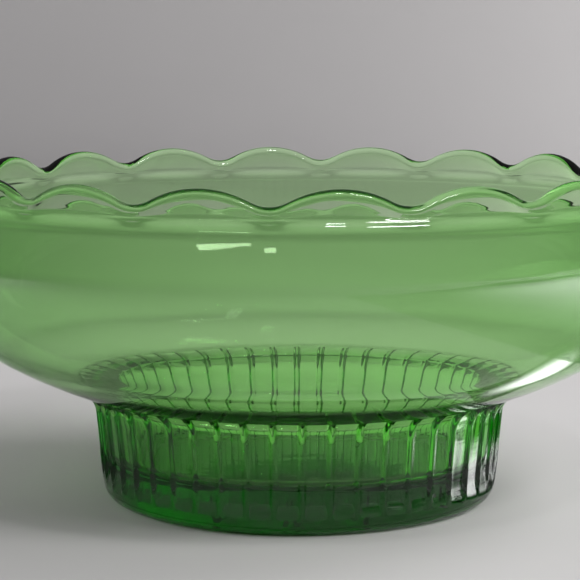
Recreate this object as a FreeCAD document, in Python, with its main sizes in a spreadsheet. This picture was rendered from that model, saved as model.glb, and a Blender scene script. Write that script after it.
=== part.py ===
"""Footed dish in pressed green glass: a round bowl with a scalloped rim, standing on a ribbed foot.

The inside of the bowl runs on down into a round well in the foot, over a thick solid base.
There are two pieces of glass: the bowl, and the foot that it is joined to while hot.
Frame: origin at the middle of the resting face, +Z up the axis, -Y the front.
"""
import FreeCAD, Part
import math
import os

import Sketcher

# Driving dimensions: name, value (millimetres, degrees or a plain number), and what it is.
DIMENSIONS = [
    ("height", 88.0, "resting face to the tips of the scallops"),
    ("rim_radius", 92.0, "outside of the rim at its tips"),
    ("rim_wall", 3.5, "thickness of the rim"),
    ("scallop_count", 18, "scallops round the rim"),
    ("scallop_depth", 4.0, "tip to valley"),
    ("valley_share", 0.26, "share of a scallop's curve that is valley"),
    ("valley_start", 86.0, "distance from the axis where the cuts for the valleys start"),
    ("tip_land", 0.1, "least glass left between two valleys at a tip"),
    ("belly_radius", 95.5, "widest place of the bowl"),
    ("belly_height", 66.5, "its height"),
    ("belly_wall", 3.8, "thickness of the glass there"),
    ("side_curve", 50.0, "outer curve of the side above the widest place"),
    ("lining_curve", 70.0, "inner curve of the same stretch"),
    ("shoulder_radius", 94.1, "where the side turns in under the rim"),
    ("shoulder_height", 78.0, "its height"),
    ("shoulder_curve", 4.2, "curve of that turn"),
    ("crease_radius", 92.4, "crease below the rim"),
    ("crease_height", 81.2, "its height"),
    ("turn_radius", 79.5, "where the underside turns up into the side"),
    ("turn_height", 38.8, "its height"),
    ("turn_curve", 32.0, "outer curve of that turn"),
    ("under_curve", 120.0, "outer curve of the shallow underside"),
    ("inner_turn_radius", 80.2, "where the inside starts to turn up"),
    ("inner_turn_height", 42.3, "its height"),
    ("inner_under_curve", 66.0, "inner curve over the underside"),
    ("lip_radius", 59.2, "where the lip of the well runs into the bowl"),
    ("lip_height", 32.07, "its height"),
    ("lip_curve", 31.5, "rounding of the lip"),
    ("mouth_height", 30.3, "where the lip turns down into the well"),
    ("seam_radius", 59.0, "outside of the level face between bowl and foot"),
    ("seam_height", 29.4, "height of that face"),
    ("well_radius", 48.5, "inside of that face, the mouth of the well"),
    ("flare_curve", 9.0, "hollow curve of the foot's flare under the bowl"),
    ("neck_radius", 54.4, "foot at the bottom of the flare"),
    ("neck_height", 23.6, "its height"),
    ("waist_radius", 53.5, "foot where its side starts to draw in"),
    ("waist_height", 14.0, "its height"),
    ("waist_curve", 75.0, "curve of the side below the waist"),
    ("band_radius", 52.4, "foot at the top of its bottom edge"),
    ("band_height", 3.6, "its height"),
    ("band_curve", 3.8, "rounding of the bottom edge"),
    ("rest_outer_radius", 49.2, "outside of the resting ring"),
    ("rest_inner_radius", 44.4, "inside of the resting ring"),
    ("hollow_radius", 42.6, "flat of the hollow under the base"),
    ("hollow_depth", 1.2, "depth of that hollow"),
    ("floor_height", 10.6, "top of the thick base, the floor of the well"),
    ("floor_radius", 42.6, "flat of that floor"),
    ("well_foot_radius", 46.3, "well just above the rounding at its floor"),
    ("well_foot_height", 14.1, "its height"),
    ("well_corner", 3.6, "that rounding"),
    ("panel_count", 48, "flat panels round the foot"),
    ("panel_width", 5.5, "width of a panel, which leaves narrow ribs between"),
    ("panel_depth", 0.9, "how far the ribs stand proud of a panel"),
    ("panel_top_height", 29.0, "top of a panel's sloping upper end"),
    ("panel_top_radius", 56.0, "foot at that height"),
    ("panel_shelf_height", 26.1, "where that sloping end starts"),
    ("panel_shelf_radius", 54.0, "panel there, well inside the flare, so the ribs stand as fins"),
    ("panel_bottom_height", 5.0, "bottom of a panel"),
    ("panel_bottom_rise", 1.6, "height of its sloping bottom end"),
    ("panel_turn", 1.3, "turn of the panels against the scallops"),
]
SHEET = "Dimensions"
FULL_TURN = 360.0
ORIGIN_POINT = (-1, 1)
ACROSS_AXIS = -1
UPRIGHT_AXIS = -2
LEAST_CUT = 1.0  # cubic millimetres that a cut has to take away
CLEARANCE = 4.0  # how far a cutting outline reaches past the glass
LEFT, RIGHT = True, False  # the side that a curve's centre is on, going round the outline

VALUES = {name: value for name, value, note in DIMENSIONS}


class Size:
    """A length, with the expression that binds it to the sheet."""

    def __init__(self, value, text):
        self.value = value
        self.text = text

    def __add__(self, other):
        return Size(self.value + other.value, f"({self.text} + {other.text})")

    def __sub__(self, other):
        return Size(self.value - other.value, f"({self.text} - {other.text})")

    def __mul__(self, other):
        return Size(self.value * other.value, f"({self.text} * {other.text})")


def size(name):
    """A driving dimension as a length in millimetres."""
    return Size(VALUES[name], f"{SHEET}.{name} * 1 mm")


def number(name):
    """A driving dimension as a plain number."""
    return Size(VALUES[name], f"{SHEET}.{name}")


def length(value):
    """A fixed length in millimetres."""
    return Size(value, f"{value} mm")


def make_sheet(doc):
    """The spreadsheet of driving dimensions."""
    sheet = doc.addObject("Spreadsheet::Sheet", SHEET)
    for row, (name, value, note) in enumerate(DIMENSIONS, start=1):
        sheet.set(f"A{row}", name)
        sheet.set(f"B{row}", str(value))
        sheet.set(f"C{row}", note)
        sheet.setAlias(f"B{row}", name)


def origin_part(body, role):
    """The body's own origin plane or axis of that role."""
    return next(part for part in body.Origin.OriginFeatures if part.Role == role)


def upright_sketch(body, name):
    """An empty sketch on the body's XZ plane: across it is the radius, up it is the height."""
    sketch = body.newObject("Sketcher::SketchObject", name)
    sketch.AttachmentSupport = [(origin_part(body, "XZ_Plane"), "")]
    sketch.MapMode = "FlatFace"
    return sketch


def arc_between(start, end, radius, side):
    """The minor arc between two points, drawn anticlockwise whichever way the outline runs."""
    chord = end - start
    across = FreeCAD.Vector(-chord.y, chord.x, 0).normalize()
    rise = math.sqrt(radius**2 - (chord.Length / 2) ** 2)
    centre = (start + end) * 0.5 + across * (rise if side is LEFT else -rise)
    first, last = (start, end) if side is LEFT else (end, start)
    from_angle = math.atan2(first.y - centre.y, first.x - centre.x)
    to_angle = math.atan2(last.y - centre.y, last.x - centre.x)
    if to_angle < from_angle:
        to_angle += 2 * math.pi
    circle = Part.Circle(centre, FreeCAD.Vector(0, 0, 1), radius)
    return Part.ArcOfCircle(circle, from_angle, to_angle)


def tie(sketch, kind, axis, edge, distance):
    """Holds one end of an edge at its distance across or up from the origin."""
    if distance.value == 0:
        sketch.addConstraint(Sketcher.Constraint("PointOnObject", *edge, axis))
        return
    ends = (*ORIGIN_POINT, *edge) if distance.value > 0 else (*edge, *ORIGIN_POINT)
    index = sketch.addConstraint(Sketcher.Constraint(kind, *ends, abs(distance.value)))
    sign = "" if distance.value > 0 else "-1 * "
    sketch.setExpression(f"Constraints[{index}]", sign + distance.text)


def draw_outline(sketch, outline):
    """Draws a closed outline.

    Each corner is (across, up) or (across, up, curve, side): a curve makes the stretch
    to the next corner an arc of that radius, with its centre on that side.
    """
    points = [FreeCAD.Vector(corner[0].value, corner[1].value, 0) for corner in outline]
    edges = []
    for corner, start, end in zip(outline, points, points[1:] + points[:1]):
        if len(corner) == 2:
            index = sketch.addGeometry(Part.LineSegment(start, end), False)
            edges.append((index, 1, 2))
            continue
        curve, side = corner[2:]
        index = sketch.addGeometry(arc_between(start, end, curve.value, side), False)
        edges.append((index, 1, 2) if side is LEFT else (index, 2, 1))
        bound = sketch.addConstraint(Sketcher.Constraint("Radius", index, curve.value))
        sketch.setExpression(f"Constraints[{bound}]", curve.text)
    for corner, edge, after in zip(outline, edges, edges[1:] + edges[:1]):
        index, first, last = edge
        sketch.addConstraint(Sketcher.Constraint("Coincident", index, last, *after[:2]))
        tie(sketch, "DistanceX", UPRIGHT_AXIS, (index, first), corner[0])
        tie(sketch, "DistanceY", ACROSS_AXIS, (index, first), corner[1])


def turned(doc, body, outline, name):
    """The outline turned once round the body's upright axis."""
    sketch = upright_sketch(body, f"{name}_section")
    draw_outline(sketch, outline)
    feature = body.newObject("PartDesign::Revolution", name)
    feature.Profile = sketch
    feature.ReferenceAxis = (sketch, ["V_Axis"])
    feature.Angle = FULL_TURN
    doc.recompute()
    return feature


def polar_cut(doc, body, pocket, name, count):
    """The pocket repeated evenly round the body's upright axis."""
    before = pocket.BaseFeature.Shape.Volume
    pattern = body.newObject("PartDesign::PolarPattern", name)
    pattern.Originals = [pocket]
    pattern.Axis = (origin_part(body, "Z_Axis"), [""])
    pattern.Angle = FULL_TURN
    pattern.setExpression("Occurrences", f"{SHEET}.{count}")
    body.Tip = pattern
    doc.recompute()
    taken = before - pattern.Shape.Volume
    once = before - pocket.Shape.Volume
    print(f"{name}: one cut takes {once:.1f} mm3, all of them {taken:.1f} mm3")
    if once < LEAST_CUT or taken < (VALUES[count] - 1) * once:
        raise RuntimeError(f"{name} cut too little")
    return pattern


def bowl_outline():
    """Section of the bowl: out along the seam, up the outside, over the rim, down the inside."""
    outer_turn, belly_wall = size("turn_curve"), size("belly_wall")
    return [
        (size("well_radius"), size("seam_height")),
        (size("seam_radius"), size("seam_height"), size("under_curve"), LEFT),
        (size("turn_radius"), size("turn_height"), outer_turn, LEFT),
        (size("belly_radius"), size("belly_height"), size("side_curve"), LEFT),
        (size("shoulder_radius"), size("shoulder_height"), size("shoulder_curve"), LEFT),
        (size("crease_radius"), size("crease_height")),
        (size("rim_radius"), size("height")),
        (size("rim_radius") - size("rim_wall"), size("height"), size("lining_curve"), RIGHT),
        (size("belly_radius") - belly_wall, size("belly_height"), outer_turn - belly_wall, RIGHT),
        (size("inner_turn_radius"), size("inner_turn_height"), size("inner_under_curve"), RIGHT),
        (size("lip_radius"), size("lip_height"), size("lip_curve"), LEFT),
        (size("well_radius"), size("mouth_height")),
    ]


def valley_outline():
    """What is cut from the rim between two tips: a round valley between two rounder shoulders."""
    count = VALUES["scallop_count"]
    spread = Size(math.tan(math.pi / count), f"tan(180 deg / {SHEET}.scallop_count)")
    half = size("valley_start") * spread - size("tip_land")
    left_half = Size(-half.value, f"(-1 * {half.text})")
    tips, depth, share = size("height"), size("scallop_depth"), number("valley_share")
    one = Size(1, "1")
    join = half * share
    left_join = left_half * share
    join_height = tips - depth * (one - share)
    # Two arcs that leave a tip and a valley level have this sum of radii.
    both = Size(
        (half.value**2 + depth.value**2) / (2 * depth.value),
        f"(({half.text} * {half.text} + {depth.text} * {depth.text}) / (2 * {depth.text}))",
    )
    tip_curve, valley_curve = both * (one - share), both * share
    above = tips + length(CLEARANCE)
    return [
        (left_half, tips, tip_curve, RIGHT),
        (left_join, join_height, valley_curve, LEFT),
        (join, join_height, tip_curve, RIGHT),
        (half, tips),
        (half, above),
        (left_half, above),
    ]


def make_bowl(doc):
    """The bowl: its turned section, then the scallops round its rim."""
    body = doc.addObject("PartDesign::Body", "Bowl")
    body.Label = "bowl"
    turned(doc, body, bowl_outline(), "bowl_wall")
    sketch = upright_sketch(body, "valley_section")
    outward = FreeCAD.Vector(0, 0, VALUES["valley_start"])
    sketch.AttachmentOffset = FreeCAD.Placement(outward, FreeCAD.Rotation())
    sketch.setExpression("AttachmentOffset.Base.z", f"{SHEET}.valley_start * 1 mm")
    draw_outline(sketch, valley_outline())
    pocket = body.newObject("PartDesign::Pocket", "valley")
    pocket.Profile = sketch
    pocket.Type = "ThroughAll"
    pocket.Reversed = True
    doc.recompute()
    polar_cut(doc, body, pocket, "scallops", "scallop_count")
    return body


def foot_outline():
    """Section of the foot: up the outside, in along the seam, down the well, under the base."""
    nothing = length(0.0)
    return [
        (size("rest_outer_radius"), nothing, size("band_curve"), LEFT),
        (size("band_radius"), size("band_height"), size("waist_curve"), LEFT),
        (size("waist_radius"), size("waist_height")),
        (size("neck_radius"), size("neck_height"), size("flare_curve"), RIGHT),
        (size("seam_radius"), size("seam_height")),
        (size("well_radius"), size("seam_height")),
        (size("well_foot_radius"), size("well_foot_height"), size("well_corner"), RIGHT),
        (size("floor_radius"), size("floor_height")),
        (nothing, size("floor_height")),
        (nothing, size("hollow_depth")),
        (size("hollow_radius"), size("hollow_depth")),
        (size("rest_inner_radius"), nothing),
    ]


def panel_outline():
    """What is cut from the side of the foot between two ribs, seen along the panel's width."""
    depth = size("panel_depth")
    bottom, rise = size("panel_bottom_height"), size("panel_bottom_rise")
    outside = size("seam_radius") + length(CLEARANCE)
    return [
        (size("band_radius"), bottom),
        (outside, bottom),
        (outside, size("panel_top_height")),
        (size("panel_top_radius"), size("panel_top_height")),
        (size("panel_shelf_radius"), size("panel_shelf_height")),
        (size("neck_radius") - depth, size("neck_height")),
        (size("waist_radius") - depth, size("waist_height"), size("waist_curve"), RIGHT),
        (size("band_radius") - depth, bottom + rise),
    ]


def make_foot(doc):
    """The foot: its turned section, then the panels cut all round between the ribs."""
    body = doc.addObject("PartDesign::Body", "RibbedFoot")
    body.Label = "ribbed_foot"
    turned(doc, body, foot_outline(), "foot_wall")
    sketch = upright_sketch(body, "panel_section")
    turn = FreeCAD.Rotation(FreeCAD.Vector(0, 1, 0), VALUES["panel_turn"])
    sketch.AttachmentOffset = FreeCAD.Placement(FreeCAD.Vector(), turn)
    sketch.setExpression("AttachmentOffset.Rotation.Angle", f"{SHEET}.panel_turn * 1 deg")
    draw_outline(sketch, panel_outline())
    pocket = body.newObject("PartDesign::Pocket", "panel")
    pocket.Profile = sketch
    pocket.Midplane = True
    pocket.setExpression("Length", f"{SHEET}.panel_width * 1 mm")
    doc.recompute()
    polar_cut(doc, body, pocket, "panels", "panel_count")
    return body


def check_document(doc, bodies):
    """Stops if any object failed or any sub-part's shape is unusable."""
    for item in doc.Objects:
        if "Invalid" in item.State or "Error" in item.State:
            raise RuntimeError(f"{item.Name} failed: {item.State}")
    for body in bodies:
        if body.Shape.isNull() or not body.Shape.isValid() or len(body.Shape.Solids) != 1:
            raise RuntimeError(f"{body.Label} is not one valid solid")


def main():
    doc = FreeCAD.newDocument("footed_dish")
    make_sheet(doc)
    doc.recompute()
    bodies = [make_bowl(doc), make_foot(doc)]
    doc.recompute()
    check_document(doc, bodies)
    os.makedirs("parts", exist_ok=True)
    for body in bodies:
        body.Shape.exportStep(f"parts/{body.Label}.step")
        print(body.Label, round(body.Shape.Volume), "mm3", body.Shape.BoundBox)


main()
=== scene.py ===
"""Pressed green glass dish: the looks of its bowl and its ribbed foot, and a plain studio round them.

Lengths are metres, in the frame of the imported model: +Z up the axis, the resting ring at zero.
"""

import math

import bmesh
import bpy
from mathutils import Matrix, Vector, noise


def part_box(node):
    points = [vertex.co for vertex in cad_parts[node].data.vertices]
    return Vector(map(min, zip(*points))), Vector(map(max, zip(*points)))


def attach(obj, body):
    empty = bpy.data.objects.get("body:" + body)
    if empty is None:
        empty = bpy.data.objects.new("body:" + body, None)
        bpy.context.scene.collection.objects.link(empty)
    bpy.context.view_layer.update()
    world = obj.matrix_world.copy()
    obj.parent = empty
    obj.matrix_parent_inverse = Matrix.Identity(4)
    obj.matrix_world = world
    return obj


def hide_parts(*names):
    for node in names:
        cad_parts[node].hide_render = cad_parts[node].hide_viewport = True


bl_info = {
    "name": "Footed Glass Dish",
    "version": (1, 0, 0),
    "blender": (4, 5, 0),
    "location": "View3D > Sidebar > Glass Dish",
    "description": "A scalloped glass bowl on a ribbed foot, with its glass, light and camera",
    "category": "Object",
}

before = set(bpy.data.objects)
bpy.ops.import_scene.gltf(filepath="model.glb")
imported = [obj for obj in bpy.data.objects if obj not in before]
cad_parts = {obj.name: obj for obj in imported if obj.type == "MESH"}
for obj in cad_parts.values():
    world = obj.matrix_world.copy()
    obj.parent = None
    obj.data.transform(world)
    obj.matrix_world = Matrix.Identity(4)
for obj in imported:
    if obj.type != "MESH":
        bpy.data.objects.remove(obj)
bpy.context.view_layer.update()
BOWL_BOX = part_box("bowl")
FOOT_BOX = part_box("ribbed_foot")

MM = 0.001
LEFT, RIGHT = 1.0, -1.0  # the side that a curve's centre is on, going along the section
WELD_LAYER = "weld"
WELD_GAP = 0.01 * MM  # half the space that keeps the two welded faces from coinciding
WELD_TOLERANCE = WELD_GAP / 4
MERGE_DISTANCE = 0.001 * MM
BLACK, WHITE = (0.0, 0.0, 0.0, 1.0), (1.0, 1.0, 1.0, 1.0)
MIX_FIRST, MIX_SECOND, MIX_RESULT = 6, 7, 2  # a Mix node's sockets for colours


# ---------------------------------------------------------------- sizes, colours and light


class DishSizes(bpy.types.PropertyGroup):
    """Sizes of the glass."""

    height: bpy.props.FloatProperty(
        name="Height", description="Resting ring to the tips of the scallops",
        default=BOWL_BOX[1][2], unit="LENGTH",
    )
    belly_radius: bpy.props.FloatProperty(
        name="Belly Radius", description="Widest place of the bowl",
        default=BOWL_BOX[1][0], unit="LENGTH",
    )
    seam_height: bpy.props.FloatProperty(
        name="Weld Height", description="Level face where the bowl is welded to the foot",
        default=FOOT_BOX[1][2], unit="LENGTH",
    )
    scallops: bpy.props.IntProperty(
        name="Scallops", description="Scallops round the rim", default=18, min=3,
    )
    scallop_depth: bpy.props.FloatProperty(
        name="Scallop Depth", description="Tip to valley", default=4.0 * MM, unit="LENGTH",
    )
    ribs: bpy.props.IntProperty(
        name="Ribs", description="Ribs round the foot", default=48, min=3,
    )
    rib_width: bpy.props.FloatProperty(
        name="Rib Width", description="Width of one rib at its root", default=2.5 * MM, unit="LENGTH",
    )


class GlassLook(bpy.types.PropertyGroup):
    """Colour and finish of the glass."""

    clear_colour: bpy.props.FloatVectorProperty(
        name="Colour", description="Light that the glass keeps as it gets thicker",
        default=(0.32, 0.876, 0.05), size=3, subtype="COLOR", min=0.0, max=1.0,
    )
    density: bpy.props.FloatProperty(
        name="Density", description="How fast the glass takes up the other light, per metre",
        default=185.0, min=0.0,
    )
    ior: bpy.props.FloatProperty(
        name="Index", description="Index of refraction", default=1.51, min=1.0,
    )


class StudioLook(bpy.types.PropertyGroup):
    """Floor, light and camera."""

    floor_colour: bpy.props.FloatVectorProperty(
        name="Floor", description="Colour of the floor and backdrop",
        default=(0.60, 0.585, 0.585), size=3, subtype="COLOR", min=0.0, max=1.0,
    )
    camera_lens: bpy.props.FloatProperty(
        name="Lens", description="Focal length of the camera, in millimetres on a 36 mm sensor",
        default=120.0, min=1.0,
    )


# ---------------------------------------------------------------- shader expressions


class Expression:
    """A shader socket, or a number, that Python's operators turn into Math nodes."""

    def __init__(self, tree, value):
        self.tree = tree
        self.value = value

    def math(self, operation, *others):
        values = {0: self}
        values.update({index: other for index, other in enumerate(others, start=1)})
        settings = {"operation": operation}
        return self.tree.add("ShaderNodeMath", settings, values)

    def __add__(self, other):
        return self.math("ADD", other)

    def __radd__(self, other):
        return self.math("ADD", other)

    def __sub__(self, other):
        return self.math("SUBTRACT", other)

    def __rsub__(self, other):
        return self.tree.constant(other).math("SUBTRACT", self)

    def __mul__(self, other):
        return self.math("MULTIPLY", other)

    def __rmul__(self, other):
        return self.math("MULTIPLY", other)

    def __truediv__(self, other):
        return self.math("DIVIDE", other)

    def __rtruediv__(self, other):
        return self.tree.constant(other).math("DIVIDE", self)


class ShaderTree:
    """A material's nodes."""

    def __init__(self, name):
        self.material = bpy.data.materials.new(name)
        self.material.use_nodes = True
        self.nodes = self.material.node_tree.nodes
        self.links = self.material.node_tree.links
        self.nodes.clear()

    def constant(self, value):
        return Expression(self, value)

    def add(self, kind, settings=None, values=None, output=0):
        """Adds a node. settings are set first, then each socket gets its value or its link."""
        node = self.nodes.new(kind)
        for name, setting in (settings or {}).items():
            setattr(node, name, setting)
        for socket, value in (values or {}).items():
            if isinstance(value, Expression) and isinstance(value.value, bpy.types.NodeSocket):
                self.links.new(value.value, node.inputs[socket])
            elif isinstance(value, Expression):
                node.inputs[socket].default_value = value.value
            else:
                node.inputs[socket].default_value = value
        return Expression(self, node.outputs[output]) if node.outputs else node


# ---------------------------------------------------------------- sections and turning


class Section:
    """A chain of points in the upright half-plane, as (radius, height), from lines and arcs."""

    def __init__(self, radius, height, spacing):
        self.points = [Vector((radius, height))]
        self.spacing = spacing

    def line(self, radius, height, spacing=None):
        start, end = self.points[-1], Vector((radius, height))
        steps = max(1, round((end - start).length / (spacing or self.spacing)))
        self.points += [start.lerp(end, step / steps) for step in range(1, steps + 1)]
        return self

    def arc(self, radius, height, curve, side, spacing=None):
        """An arc of radius curve to the next point, with its centre on that side of the way."""
        start, end = self.points[-1], Vector((radius, height))
        chord = end - start
        across = Vector((-chord.y, chord.x)).normalized() * side
        rise = math.sqrt(max(curve**2 - (chord.length / 2) ** 2, 0.0))
        centre = (start + end) / 2 + across * rise
        sweep = 2 * math.asin(min(1.0, chord.length / 2 / curve)) * side
        steps = max(2, math.ceil(abs(sweep) * curve / (spacing or self.spacing)))
        spoke = start - centre
        for step in range(1, steps + 1):
            turn = Matrix.Rotation(sweep * step / steps, 2)
            self.points.append(centre + turn @ spoke)
        return self


def turn_section(section, turns, closed=True):
    """A mesh made by spinning the section about the axis through each of the turns in order."""
    mesh = bmesh.new()
    verts = [mesh.verts.new((point.x, 0.0, point.y)) for point in section.points]
    edges = [mesh.edges.new(pair) for pair in zip(verts, verts[1:])]
    if closed:
        edges.append(mesh.edges.new((verts[-1], verts[0])))
    moving = verts + edges
    for angle, steps in turns:
        result = bmesh.ops.spin(
            mesh, geom=moving, cent=(0, 0, 0), axis=(0, 0, 1), dvec=(0, 0, 0),
            angle=angle, steps=steps, use_merge=math.isclose(angle, math.tau),
            use_normal_flip=False, use_duplicate=False,
        )
        moving = result["geom_last"]
    return mesh


def finish_mesh(mesh, name, material, weld_height):
    """Closes the mesh, marks its weld face and makes it a piece in the glass."""
    def on_weld(face):
        return all(abs(vert.co.z - weld_height) < WELD_TOLERANCE for vert in face.verts)

    bmesh.ops.remove_doubles(mesh, verts=mesh.verts, dist=MERGE_DISTANCE)
    bmesh.ops.recalc_face_normals(mesh, faces=mesh.faces)
    weld = mesh.faces.layers.float.new(WELD_LAYER)
    for face in mesh.faces:
        level = on_weld(face)
        face[weld] = float(level)
        face.smooth = not level
        if level:
            for edge in face.edges:
                edge.smooth = edge.is_manifold and all(on_weld(other) for other in edge.link_faces)
    data = bpy.data.meshes.new(name)
    mesh.to_mesh(data)
    mesh.free()
    data.materials.append(material)
    piece = bpy.data.objects.new(name, data)
    bpy.context.scene.collection.objects.link(piece)
    return piece


# ---------------------------------------------------------------- the bowl


RIM_RADIUS = 92.0 * MM
RIM_WALL = 3.5 * MM
BELLY_HEIGHT = 66.5 * MM
BELLY_WALL = 3.8 * MM
SEAM_RADIUS = 59.0 * MM
WELL_RADIUS = 48.5 * MM

# Corners of the bowl's section, as (radius, height).
OUTER_TURN = (79.5 * MM, 38.8 * MM)  # where the underside turns up into the side
INNER_TURN = (80.2 * MM, 42.3 * MM)
SHOULDER = (94.1 * MM, 77.6 * MM)
CREASE = (93.25 * MM, 80.2 * MM)
CREASE_END = (92.35 * MM, 82.8 * MM)
LIP = (59.2 * MM, 32.07 * MM)  # where the inside runs into the lip of the well
LIP_END = (49.1 * MM, 30.5 * MM)
WELL_TOP = 29.9 * MM

UNDER_CURVE, TURN_CURVE, SIDE_CURVE = 120.0 * MM, 32.0 * MM, 50.0 * MM  # outside, from the seam up
SHOULDER_CURVE, CREASE_CURVE = 6.0 * MM, 4.5 * MM
LINING_CURVE, INNER_UNDER_CURVE = 70.0 * MM, 66.0 * MM  # inside, from the rim down
LIP_CURVE, MOUTH_CURVE = 31.5 * MM, 0.62 * MM

OUTSIDE_START = 81.25 * MM  # height on the outside from which the wall follows the scallops
LINING_START = 78.5 * MM  # the same on the inside
VALLEY_SHARE = 0.26  # share of a scallop's curve that is valley
STEPS_PER_SCALLOP = 24


def wave_drop(along, half, depth):
    """How far the rim lies below its tips, at a distance along it from the middle of a valley."""
    both = (half**2 + depth**2) / (2 * depth)
    valley, tip = both * VALLEY_SHARE, both * (1 - VALLEY_SHARE)
    if along < half * VALLEY_SHARE:
        return depth - valley + math.sqrt(valley**2 - along**2)
    return tip - math.sqrt(tip**2 - (half - along) ** 2)


def bowl_section(sizes):
    """Closed section of the bowl, from the mouth of the well round the outside and back inside."""
    belly, top = sizes.belly_radius, sizes.height
    rim_half = RIM_WALL / 2
    crest = top - rim_half
    inner_rim = RIM_RADIUS - RIM_WALL
    seam = sizes.seam_height + WELD_GAP
    section = Section(WELL_RADIUS, seam, spacing=1.25 * MM)
    section.line(SEAM_RADIUS, seam, spacing=3.0 * MM)
    section.arc(*OUTER_TURN, UNDER_CURVE, LEFT)
    section.arc(belly, BELLY_HEIGHT, TURN_CURVE, LEFT)
    section.arc(*SHOULDER, SIDE_CURVE, LEFT)
    section.arc(*CREASE, SHOULDER_CURVE, LEFT, spacing=0.35 * MM)
    section.arc(*CREASE_END, CREASE_CURVE, RIGHT, spacing=0.3 * MM)
    section.line(RIM_RADIUS, crest, spacing=0.6 * MM)
    section.arc(RIM_RADIUS - rim_half, top, rim_half, LEFT, spacing=0.4 * MM)
    section.arc(inner_rim, crest, rim_half, LEFT, spacing=0.4 * MM)
    section.arc(belly - BELLY_WALL, BELLY_HEIGHT, LINING_CURVE, RIGHT)
    section.arc(*INNER_TURN, TURN_CURVE - BELLY_WALL, RIGHT)
    section.arc(*LIP, INNER_UNDER_CURVE, RIGHT)
    section.arc(*LIP_END, LIP_CURVE, LEFT, spacing=0.9 * MM)
    section.arc(WELL_RADIUS, WELL_TOP, MOUTH_CURVE, LEFT, spacing=0.2 * MM)
    section.line(WELL_RADIUS, seam)
    section.points.pop()
    return section


def scallop_rim(mesh, sizes):
    """Lowers the rim between its tips. The wall below it gives way, so the edge keeps its round."""
    pitch = math.tau / sizes.scallops
    half = RIM_RADIUS * pitch / 2
    crest = sizes.height - RIM_WALL / 2
    for vert in mesh.verts:
        radius = math.hypot(vert.co.x, vert.co.y)
        outside = radius > RIM_RADIUS - RIM_WALL / 2
        start = OUTSIDE_START if outside else LINING_START
        if vert.co.z <= start:
            continue
        turn = math.atan2(vert.co.y, vert.co.x) % pitch
        along = abs(turn - pitch / 2) * RIM_RADIUS
        share = min(1.0, (vert.co.z - start) / (crest - start))
        vert.co.z -= wave_drop(along, half, sizes.scallop_depth) * share


def unevenness(mesh, reach, amount, seed, low, high):
    """Presses a slow waviness into the walls, as pressed glass has, fading out towards low and high."""
    shift = Vector((seed, -seed, seed / 2))
    for vert in mesh.verts:
        if not low < vert.co.z < high:
            continue
        fade = min(1.0, (vert.co.z - low) / reach, (high - vert.co.z) / reach)
        wave = noise.noise(vert.co / reach + shift)
        vert.co += Vector((vert.co.x, vert.co.y, 0)).normalized() * wave * amount * fade


class GLASSDISH_OT_bowl(bpy.types.Operator):
    """Turns the bowl, scallops its rim and rides it in place of the plain one"""

    bl_idname = "glassdish.bowl"
    bl_label = "Make Bowl"

    def execute(self, context):
        sizes = context.scene.dish_sizes
        mesh = turn_section(bowl_section(sizes), [(math.tau, sizes.scallops * STEPS_PER_SCALLOP)])
        scallop_rim(mesh, sizes)
        unevenness(
            mesh, reach=22.0 * MM, amount=0.16 * MM, seed=3.7,
            low=sizes.seam_height + 2 * MM, high=sizes.height,
        )
        glass = glass_material(context, "bowl_glass", ripple=0.008)
        piece = finish_mesh(mesh, "glass_bowl", glass, sizes.seam_height + WELD_GAP)
        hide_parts("bowl")
        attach(piece, "root")
        return {"FINISHED"}


# ---------------------------------------------------------------- the foot


PANEL_TURN = math.radians(1.3)
PANEL_PROFILE = [  # radius and height of the flat panels between the ribs, from the bottom up
    (52.62 * MM, 4.2 * MM), (52.50 * MM, 5.2 * MM), (52.30 * MM, 6.8 * MM), (52.15 * MM, 8.6 * MM),
    (52.22 * MM, 10.5 * MM), (52.60 * MM, 14.0 * MM), (53.50 * MM, 23.6 * MM), (53.90 * MM, 26.1 * MM),
    (54.25 * MM, 27.0 * MM), (56.00 * MM, 28.95 * MM), (59.00 * MM, 29.39 * MM),
]
RIB_SHARE, ROOT_SHARE = 0.09, 0.10  # shares of the pitch from a rib's middle that hold finer steps

# Corners of the foot's section, as (radius, height), from the hollow round the outside to the floor.
HOLLOW_DEPTH = 1.2 * MM
HOLLOW_FLAT = 41.0 * MM
HOLLOW_EDGE = (42.8 * MM, 0.75 * MM)
RING_INSIDE = (44.0 * MM, 0.12 * MM)
RING_START, RING_END = 44.8 * MM, 49.2 * MM
BAND = (52.4 * MM, 3.6 * MM)
WAIST = (53.5 * MM, 14.0 * MM)
NECK = (54.4 * MM, 23.6 * MM)
WELL_FOOT = (46.3 * MM, 14.1 * MM)
FLOOR = (42.6 * MM, 10.6 * MM)

HOLLOW_CURVE, RING_CURVE, BAND_CURVE = 4.0 * MM, 1.4 * MM, 3.8 * MM
WAIST_CURVE, FLARE_CURVE, WELL_CURVE = 75.0 * MM, 9.0 * MM, 3.6 * MM


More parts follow.
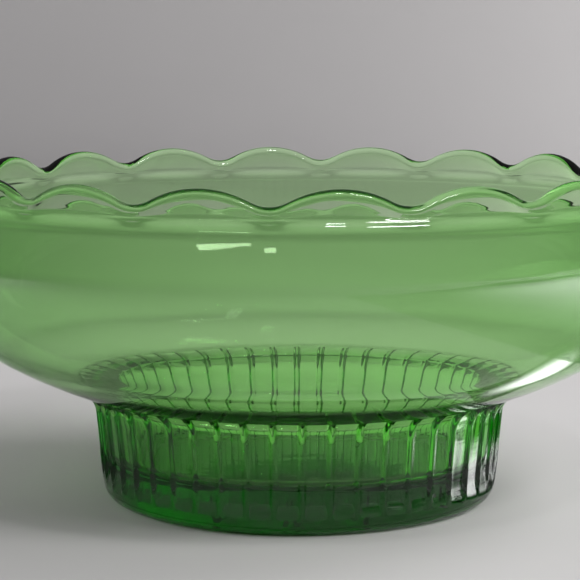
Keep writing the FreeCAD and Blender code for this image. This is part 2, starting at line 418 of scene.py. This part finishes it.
def foot_section(sizes):
    """Section of the foot along its ribs, from the middle of the hollow to the middle of the floor."""
    seam = sizes.seam_height - WELD_GAP
    section = Section(0.0, HOLLOW_DEPTH, spacing=0.8 * MM)
    section.line(HOLLOW_FLAT, HOLLOW_DEPTH, spacing=9.0 * MM)
    section.arc(*HOLLOW_EDGE, HOLLOW_CURVE, RIGHT, spacing=0.5 * MM)
    section.line(*RING_INSIDE, spacing=0.6 * MM)
    section.arc(RING_START, 0.0, RING_CURVE, LEFT, spacing=0.3 * MM)
    section.line(RING_END, 0.0, spacing=2.2 * MM)
    section.arc(*BAND, BAND_CURVE, LEFT, spacing=0.7 * MM)
    section.arc(*WAIST, WAIST_CURVE, LEFT)
    section.line(*NECK, spacing=1.2 * MM)
    section.arc(SEAM_RADIUS, seam, FLARE_CURVE, RIGHT, spacing=0.45 * MM)
    section.line(WELL_RADIUS, seam, spacing=3.5 * MM)
    section.line(*WELL_FOOT, spacing=1.6 * MM)
    section.arc(*FLOOR, WELL_CURVE, RIGHT, spacing=0.5 * MM)
    section.line(0.0, FLOOR[1], spacing=7.0 * MM)
    return section


def panel_radius(height):
    """Radius of the panels at a height, or None above and below them."""
    for (low_radius, low), (high_radius, high) in zip(PANEL_PROFILE, PANEL_PROFILE[1:]):
        if low <= height < high:
            return low_radius + (high_radius - low_radius) * (height - low) / (high - low)
    return None


def press_panels(mesh, sizes):
    """Presses the flat panels into the side of the foot, and leaves soft-sided ribs between."""
    pitch = math.tau / sizes.ribs
    half_rib = sizes.rib_width / 2
    for vert in mesh.verts:
        radius = math.hypot(vert.co.x, vert.co.y)
        panel = panel_radius(vert.co.z)
        if panel is None or radius < panel:
            continue
        turn = (math.atan2(vert.co.y, vert.co.x) - PANEL_TURN) % pitch
        across = min(turn, pitch - turn)
        from_rib = (pitch / 2 - across) * radius
        flat = panel * math.cos(pitch / 2) / math.cos(across) + (1 - math.cos(pitch / 2)) * panel
        rise = max(0.0, 1 - (from_rib / half_rib) ** 2) ** 2
        wanted = flat + (radius - flat) * rise
        vert.co.xy *= wanted / radius


class GLASSDISH_OT_foot(bpy.types.Operator):
    """Turns the foot, presses its panels and rides it in place of the plain one"""

    bl_idname = "glassdish.foot"
    bl_label = "Make Ribbed Foot"

    def execute(self, context):
        sizes = context.scene.dish_sizes
        pitch = math.tau / sizes.ribs
        rib, root = pitch * RIB_SHARE, pitch * ROOT_SHARE
        panel = pitch / 2 - rib - root
        half = [(rib, 3), (root, 3), (panel, 2)]
        mesh = turn_section(foot_section(sizes), half + half[::-1], closed=False)
        start = Matrix.Rotation(PANEL_TURN + pitch / 2, 3, "Z")
        bmesh.ops.rotate(mesh, verts=mesh.verts, cent=(0, 0, 0), matrix=start)
        bmesh.ops.spin(
            mesh, geom=mesh.verts[:] + mesh.edges[:] + mesh.faces[:], cent=(0, 0, 0),
            axis=(0, 0, 1), dvec=(0, 0, 0), angle=math.tau - pitch, steps=sizes.ribs - 1,
            use_merge=False, use_normal_flip=False, use_duplicate=True,
        )
        bmesh.ops.remove_doubles(mesh, verts=mesh.verts, dist=MERGE_DISTANCE)
        press_panels(mesh, sizes)
        unevenness(
            mesh, reach=9.0 * MM, amount=0.06 * MM, seed=8.1,
            low=1.5 * MM, high=sizes.seam_height - 0.5 * MM,
        )
        glass = glass_material(context, "foot_glass", ripple=0.1)
        piece = finish_mesh(mesh, "glass_foot", glass, sizes.seam_height - WELD_GAP)
        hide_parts("ribbed_foot")
        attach(piece, "root")
        return {"FINISHED"}


# ---------------------------------------------------------------- glass


WAVE_SCALE = (18.0, 18.0, 75.0)  # slow waves in the walls, per metre, flattened like the chill marks
CHILL_SCALE = (120.0, 120.0, 1000.0)
BUMP_HEIGHT = 0.5 * MM
BUMP_STRENGTH = 0.5
POLISH = 0.012


def glass_material(context, name, ripple):
    """Green pressed glass. Its weld faces bend and reflect nothing.

    ripple is how deep the mould's chill marks are, the short level waves on cold-pressed walls.
    """
    look = context.scene.glass_look
    tree = ShaderTree(name)
    place = tree.add("ShaderNodeTexCoord", output="Object")
    scaled = {"operation": "MULTIPLY"}
    waves = tree.add("ShaderNodeVectorMath", scaled, {0: place, 1: WAVE_SCALE})
    chills = tree.add("ShaderNodeVectorMath", scaled, {0: place, 1: CHILL_SCALE})
    slow = tree.add("ShaderNodeTexNoise", {}, {"Vector": waves, "Scale": 1.0, "Detail": 1.0})
    marks = tree.add("ShaderNodeTexNoise", {}, {"Vector": chills, "Scale": 1.0, "Detail": 2.0})
    bump = tree.add("ShaderNodeBump", {}, {
        "Height": slow + marks * ripple,
        "Strength": BUMP_STRENGTH,
        "Distance": BUMP_HEIGHT,
    })
    glass = tree.add("ShaderNodeBsdfPrincipled", {}, {
        "Base Color": WHITE,
        "Roughness": POLISH,
        "IOR": look.ior,
        "Transmission Weight": 1.0,
        "Normal": bump,
    })
    joined = tree.add("ShaderNodeBsdfPrincipled", {}, {
        "Base Color": WHITE,
        "Roughness": 0.0,
        "IOR": 1.0,
        "Transmission Weight": 1.0,
    })
    weld = tree.add(
        "ShaderNodeAttribute", {"attribute_type": "GEOMETRY", "attribute_name": WELD_LAYER},
        output="Fac",
    )
    surface = tree.add("ShaderNodeMixShader", {}, {0: weld, 1: glass, 2: joined})
    inside = tree.add("ShaderNodeVolumeAbsorption", {}, {
        "Color": (*look.clear_colour, 1.0),
        "Density": look.density,
    })
    tree.add("ShaderNodeOutputMaterial", {}, {"Surface": surface, "Volume": inside})
    return tree.material


# ---------------------------------------------------------------- floor, light and camera


COVE_FLOOR, COVE_WALL = 1.3, 1.7  # radius of the level floor, and of the wall round it
COVE_CURVE, COVE_TOP = 0.4, 0.62
MOTTLE_SHADE = 0.96
AIR_COLOUR = (0.12, 0.12, 0.124, 1.0)
GLOW_HEIGHT = 1.0 * MM

# Bright places on the floor that only reflections show: name, centre, reach and strength.
GLOWS = [
    ("side_glow", (0.42, 0.0), (0.32, 0.38), 5.0),
    ("rib_glow", (0.088, -0.006), (0.034, 0.022), 7.0),
]

# Lamps: name, place, the place it is turned towards, width, height and power.
HIDDEN_LAMPS = [  # light the glass and the floor, and no reflection or refraction shows them
    ("window", (0.65, 0.2, 0.62), (0.1, 0.15, 0.0), 0.6, 0.6, 5.0),
    ("low_window", (1.1, -0.25, 0.42), (0.1, 0.0, 0.0), 0.7, 0.45, 10.5),
    ("backdrop_wash", (0.55, 1.15, 0.45), (0.3, 1.7, 0.1), 0.4, 0.4, 2.5),
    ("left_wash", (-0.45, 0.0, 0.15), (-0.08, 0.04, 0.0), 0.3, 0.15, 0.8),
]
SKYLIGHTS = [  # small ones whose reflections are the highlights on the shoulder
    ("small_skylight", (0.265, -0.765, 1.15), (0.0, 0.0, 0.06), 0.10, 0.10, 1.2),
    ("long_skylight", (0.585, -0.70, 1.0), (0.0, 0.0, 0.06), 0.36, 0.10, 3.2),
]


def plain_material(name, colour):
    """A matt painted surface with a faint mottle."""
    tree = ShaderTree(name)
    place = tree.add("ShaderNodeTexCoord", output="Object")
    mottle = tree.add("ShaderNodeTexNoise", {}, {"Vector": place, "Scale": 9.0, "Detail": 3.0})
    shade = tree.add("ShaderNodeMix", {"data_type": "RGBA"}, {
        "Factor": mottle,
        MIX_FIRST: (*(channel * MOTTLE_SHADE for channel in colour), 1.0),
        MIX_SECOND: (*colour, 1.0),
    }, output=MIX_RESULT)
    surface = tree.add("ShaderNodeBsdfPrincipled", {}, {
        "Base Color": shade,
        "Roughness": 0.85,
        "Specular IOR Level": 0.0,
    })
    tree.add("ShaderNodeOutputMaterial", {}, {"Surface": surface})
    return tree.material


def make_cove(context):
    """A round floor that sweeps up into a low wall all round."""
    look = context.scene.studio_look
    section = Section(0.0, 0.0, spacing=0.12)
    section.line(COVE_FLOOR, 0.0)
    section.arc(COVE_WALL, COVE_CURVE, COVE_CURVE, LEFT, spacing=0.05)
    section.line(COVE_WALL, COVE_TOP)
    mesh = turn_section(section, [(math.tau, 96)], closed=False)
    bmesh.ops.remove_doubles(mesh, verts=mesh.verts, dist=0.01 * MM)
    bmesh.ops.recalc_face_normals(mesh, faces=mesh.faces)
    for face in mesh.faces:
        face.smooth = True
    data = bpy.data.meshes.new("studio_cove")
    mesh.to_mesh(data)
    mesh.free()
    data.materials.append(plain_material("studio_paint", look.floor_colour))
    cove = bpy.data.objects.new("studio_cove", data)
    context.scene.collection.objects.link(cove)


def make_glow(context, name, centre, reach, strength):
    """A bright place on the floor that only reflections show, fading out to its edges."""
    tree = ShaderTree(name)
    place = tree.add("ShaderNodeTexCoord", output="Object")
    across = tree.add("ShaderNodeSeparateXYZ", {}, {"Vector": place}, output="X")
    along = tree.add("ShaderNodeSeparateXYZ", {}, {"Vector": place}, output="Y")
    sideways = (across - centre[0]) / reach[0]
    lengthways = (along - centre[1]) / reach[1]
    inside = (1 - sideways * sideways - lengthways * lengthways).math("MAXIMUM", 0.0)
    shade = tree.add("ShaderNodeMix", {"data_type": "RGBA"}, {
        "Factor": inside * inside,
        MIX_FIRST: BLACK,
        MIX_SECOND: WHITE,
    }, output=MIX_RESULT)
    surface = tree.add("ShaderNodeBsdfPrincipled", {}, {
        "Base Color": BLACK,
        "Emission Color": shade,
        "Emission Strength": strength,
    })
    tree.add("ShaderNodeOutputMaterial", {}, {"Surface": surface})
    mesh = bmesh.new()
    bmesh.ops.create_grid(mesh, x_segments=1, y_segments=1, size=1.0)
    bmesh.ops.scale(mesh, verts=mesh.verts, vec=(*reach, 1.0))
    bmesh.ops.translate(mesh, verts=mesh.verts, vec=(*centre, GLOW_HEIGHT))
    data = bpy.data.meshes.new(name)
    mesh.to_mesh(data)
    mesh.free()
    data.materials.append(tree.material)
    glow = bpy.data.objects.new(name, data)
    glow.visible_camera = glow.visible_diffuse = glow.visible_transmission = False
    glow.visible_shadow = False
    context.scene.collection.objects.link(glow)


def add_lamp(context, name, place, aim, width, height, power):
    """A soft rectangular lamp at a place, turned towards aim."""
    light = bpy.data.lights.new(name, "AREA")
    light.shape = "RECTANGLE"
    light.size, light.size_y = width, height
    light.energy = power
    lamp = bpy.data.objects.new(name, light)
    lamp.location = place
    lamp.rotation_euler = (Vector(aim) - Vector(place)).to_track_quat("-Z", "Y").to_euler()
    context.scene.collection.objects.link(lamp)
    return lamp


def make_camera(context):
    """A long lens at the height from which the rim opens a little."""
    distance, height, turn = 0.512, 118.7 * MM, math.radians(4.23)
    place = Vector((distance * math.sin(turn), -distance * math.cos(turn), height))
    data = bpy.data.cameras.new("camera")
    data.lens = context.scene.studio_look.camera_lens
    data.sensor_width = 36.0
    data.clip_start = 0.01
    camera = bpy.data.objects.new("camera", data)
    camera.location = place
    down, aside = math.radians(7.15), math.radians(0.275)
    camera.rotation_euler = (math.pi / 2 - down, 0.0, turn + aside)
    context.scene.collection.objects.link(camera)
    context.scene.camera = camera


class GLASSDISH_OT_studio(bpy.types.Operator):
    """Lays the floor and backdrop, and sets the lamps and the camera"""

    bl_idname = "glassdish.studio"
    bl_label = "Make Studio"

    def execute(self, context):
        make_cove(context)
        for glow in GLOWS:
            make_glow(context, *glow)
        for row in HIDDEN_LAMPS:
            lamp = add_lamp(context, *row)
            lamp.visible_glossy = lamp.visible_transmission = False
        for row in SKYLIGHTS:
            add_lamp(context, *row).visible_transmission = False
        context.scene.view_settings.view_transform = "Standard"
        world = bpy.data.worlds.new("studio_air")
        world.use_nodes = True
        air = world.node_tree.nodes["Background"]
        air.inputs["Color"].default_value = AIR_COLOUR
        air.inputs["Strength"].default_value = 1.0
        context.scene.world = world
        make_camera(context)
        return {"FINISHED"}


# ---------------------------------------------------------------- panel and registration


class GLASSDISH_PT_panel(bpy.types.Panel):
    """Sizes, looks and one button for each piece"""

    bl_idname = "GLASSDISH_PT_panel"
    bl_label = "Glass Dish"
    bl_space_type = "VIEW_3D"
    bl_region_type = "UI"
    bl_category = "Glass Dish"

    def draw(self, context):
        scene = context.scene
        for group in (scene.dish_sizes, scene.glass_look, scene.studio_look):
            box = self.layout.box()
            for name in group.__annotations__:
                box.prop(group, name)
        for operator in OPERATORS:
            self.layout.operator(operator.bl_idname)


GROUPS = {"dish_sizes": DishSizes, "glass_look": GlassLook, "studio_look": StudioLook}
OPERATORS = (GLASSDISH_OT_bowl, GLASSDISH_OT_foot, GLASSDISH_OT_studio)


def register():
    for name, group in GROUPS.items():
        bpy.utils.register_class(group)
        setattr(bpy.types.Scene, name, bpy.props.PointerProperty(type=group))
    for kind in (*OPERATORS, GLASSDISH_PT_panel):
        bpy.utils.register_class(kind)


def unregister():
    for kind in (GLASSDISH_PT_panel, *reversed(OPERATORS)):
        bpy.utils.unregister_class(kind)
    for name, group in GROUPS.items():
        delattr(bpy.types.Scene, name)
        bpy.utils.unregister_class(group)


def main():
    """Makes every piece and the stage."""
    register()
    bpy.ops.glassdish.bowl()
    bpy.ops.glassdish.foot()
    bpy.ops.glassdish.studio()


if __name__ == "__main__":
    main()
